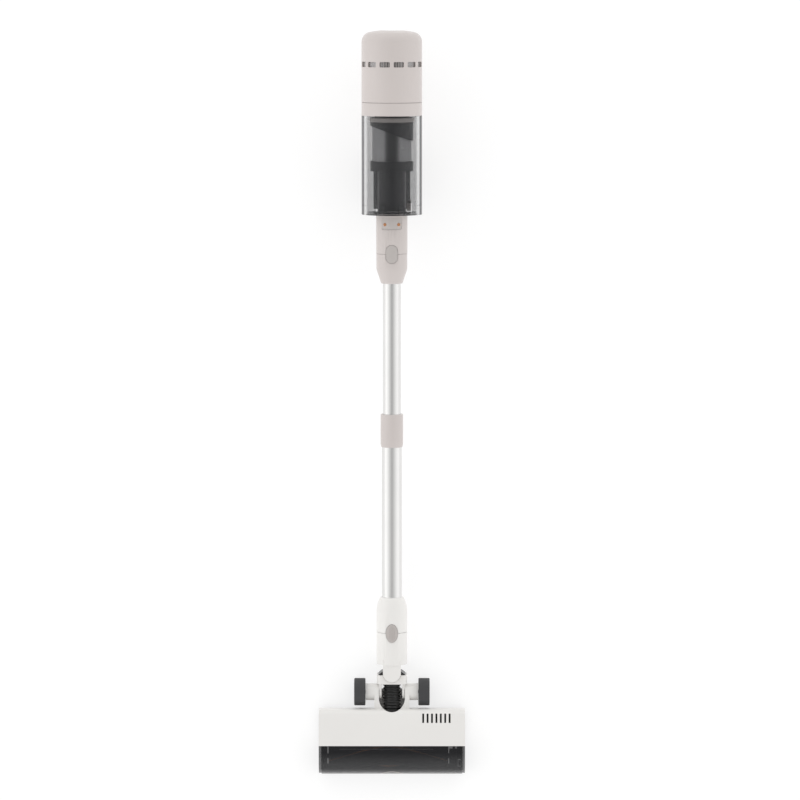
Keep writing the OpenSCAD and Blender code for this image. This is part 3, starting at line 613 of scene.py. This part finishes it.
def pleatedFilter(count, outer, inner):
    # folded cloth between two flat ends
    low, high = span("filter")
    work = bmesh.new()
    verts = []
    for i in range(count * 2):
        turn = math.pi * i / count
        r = (outer if i % 2 else inner) * mm
        verts.append(work.verts.new((r * math.cos(turn), low.y, r * math.sin(turn))))
    wall = [work.edges.new((verts[i], verts[(i + 1) % len(verts)])) for i in range(len(verts))]
    made = bmesh.ops.extrude_edge_only(work, edges=wall)
    bmesh.ops.translate(work, verts=[v for v in made["geom"] if isinstance(v, bmesh.types.BMVert)],
                        vec=(0, high.y - low.y, 0))
    for y in (low.y, high.y):
        rim = [e for e in work.edges if all(abs(v.co.y - y) < 1e-6 for v in e.verts)]
        bmesh.ops.contextual_create(work, geom=rim)
    bmesh.ops.recalc_face_normals(work, faces=work.faces)
    keep("pleatedFilter", work, "filterCloth", "cup", place=wandFrame, smooth=0,
         replaced=["filter"])


pleatedFilter(**pleats)

grille = dict(bars=108, radius=44.6, depth=1.2, thick=0.8)


def exhaustGrille(bars, radius, depth, thick):
    # fine upright bars that show behind the exhaust slots
    low, high = span("exhaust_filter")
    work = bmesh.new()
    for i in range(bars):
        made = bmesh.ops.create_cube(work, size=1.0)["verts"]
        size = Matrix.Diagonal((thick * mm, high.y - low.y, depth * mm, 1))
        spot = Matrix.Rotation(2 * math.pi * i / bars, 4, "Y") @ Matrix.Translation(
            (0, (low.y + high.y) / 2, radius * mm))
        bmesh.ops.transform(work, matrix=spot @ size, verts=made)
    keep("exhaustGrille", work, "panelGreige", "main_body", place=wandFrame, smooth=0)


exhaustGrille(**grille)
print("body pieces made")


# camera, light and floor

view = dict(height=7.0, lens=195.5, sensor=36, aside=0.013, ahead=0.007, reach=50)
eye = bpy.data.objects.new("eye", bpy.data.cameras.new("eye"))
bpy.context.scene.collection.objects.link(eye)
eye.location = (view["aside"], view["ahead"], view["height"])
eye.data.lens = view["lens"]
eye.data.sensor_width = view["sensor"]
eye.data.clip_end = view["reach"]
bpy.context.scene.camera = eye

ground = dict(size=30, dark=0.38, pale=0.4, rough=0.9, shine=0.1, glow=0.66)
floorWork = bmesh.new()
bmesh.ops.create_grid(floorWork, x_segments=1, y_segments=1, size=ground["size"])
floorMesh = bpy.data.meshes.new("floor")
floorWork.to_mesh(floorMesh)
floorWork.free()
floor = bpy.data.objects.new("floor", floorMesh)
bpy.context.scene.collection.objects.link(floor)
floorGraph = Graph("paleFloor")
white = (1, 1, 1)
# a light table, which keeps the shadows soft
floorGraph.output(floorGraph.shader({
    "Base Color": floorGraph.mix(floorGraph.noise(3), rgb(white, ground["dark"]), rgb(white, ground["pale"])),
    "Roughness": ground["rough"], "Specular IOR Level": ground["shine"],
    "Emission Color": rgb(white), "Emission Strength": ground["glow"]}))
floorMesh.materials.append(floorGraph.material)

lighting = dict(overhead=0.3, horizon=1.31, leftward=0.06)
world = bpy.data.worlds.new("studio")
bpy.context.scene.world = world
world.use_nodes = True
sky = world.node_tree
sky.nodes.clear()


def skyNode(kind, settings=None, sockets=None):
    made = sky.nodes.new(kind)
    for key, value in (settings or {}).items():
        setattr(made, key, value)
    for key, value in (sockets or {}).items():
        if hasattr(value, "is_output"):
            sky.links.new(value, made.inputs[key])
        else:
            made.inputs[key].default_value = value
    return made


# a white dome, dimmer straight above and a touch brighter on the left
aim = skyNode("ShaderNodeSeparateXYZ", None, {0: skyNode("ShaderNodeTexCoord").outputs["Generated"]})
height = skyNode("ShaderNodeMath", {"operation": "MULTIPLY"}, {0: aim.outputs[2], 1: aim.outputs[2]})
level = skyNode("ShaderNodeMath", {"operation": "SUBTRACT", "use_clamp": True}, {
    0: 1.0, 1: height.outputs[0]})
spread = skyNode("ShaderNodeMath", {"operation": "SQRT"}, {0: level.outputs[0]})
dome = skyNode("ShaderNodeMapRange", None, {
    "Value": spread.outputs[0], "To Min": lighting["overhead"], "To Max": lighting["horizon"]})
lean = skyNode("ShaderNodeMath", {"operation": "MULTIPLY_ADD"}, {
    0: aim.outputs[0], 1: -lighting["leftward"], 2: 1.0})
power = skyNode("ShaderNodeMath", {"operation": "MULTIPLY"}, {0: dome.outputs[0], 1: lean.outputs[0]})
backdrop = skyNode("ShaderNodeBackground", None, {"Color": rgb(white)})
sky.links.new(power.outputs[0], backdrop.inputs["Strength"])
sky.links.new(backdrop.outputs[0], skyNode("ShaderNodeOutputWorld").inputs["Surface"])

bpy.context.scene.view_settings.view_transform = "Standard"
print("studio ready")
